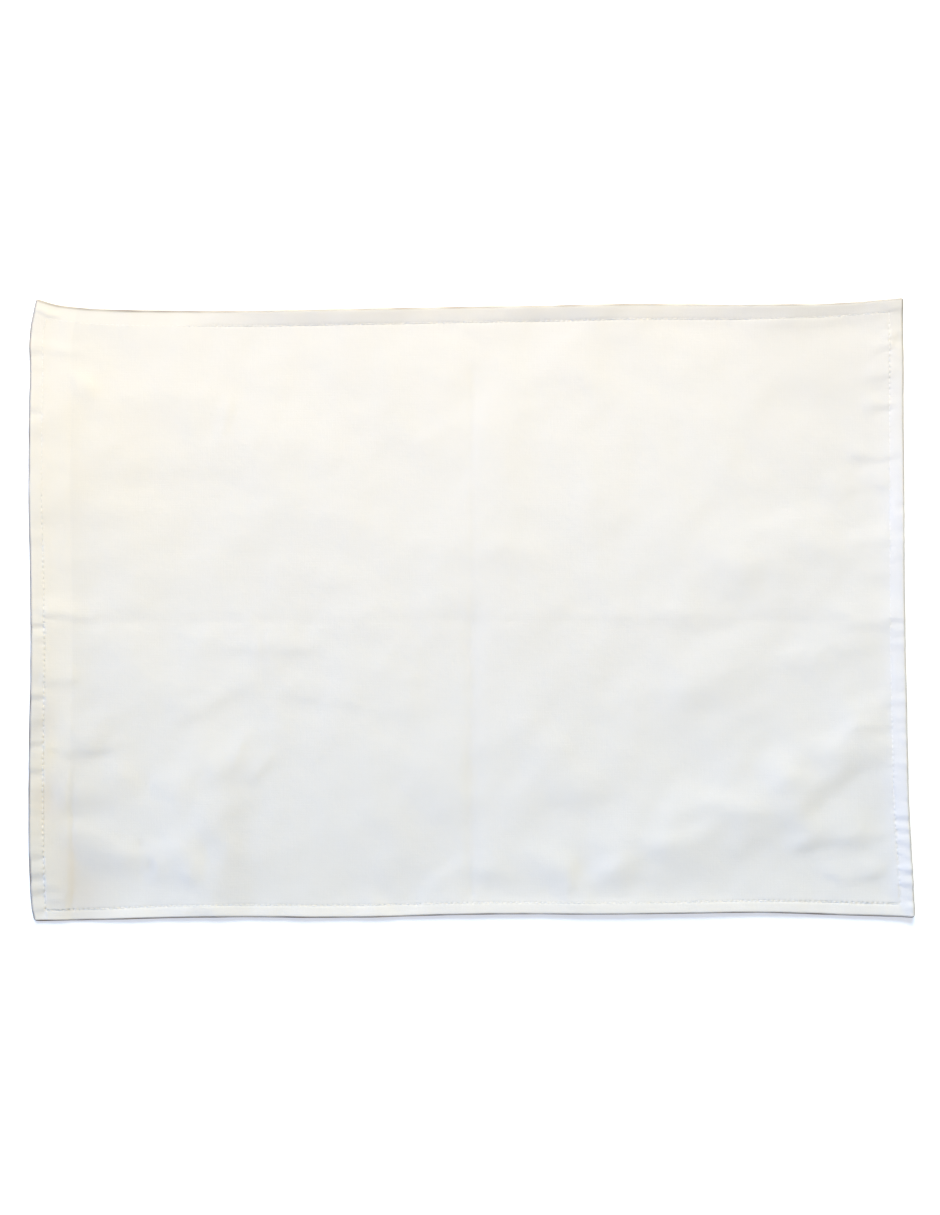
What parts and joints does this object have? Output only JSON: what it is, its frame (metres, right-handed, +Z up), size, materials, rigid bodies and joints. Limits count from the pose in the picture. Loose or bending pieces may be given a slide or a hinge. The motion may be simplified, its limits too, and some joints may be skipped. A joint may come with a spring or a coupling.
{
  "type": "tablecloth",
  "caption": "Small oblong cotton tablecloth or tray cloth with turned and sewn hems, laid flat with soft folds, pressed creases and puckered edges.",
  "frame": {"origin": "middle of the cloth's outline, on the surface it lies on", "axes": "+X along the long side, +Y across the short way to the far long side, +Z up out of the face side"},
  "size_m": [0.5158, 0.3625, 0.0033],
  "materials": {
    "cotton": "matt white plain-weave cotton, faintly warm, with white sewing thread"
  },
  "bodies": {
    "root": {"cloth": "cotton"}
  },
  "joints": []
}
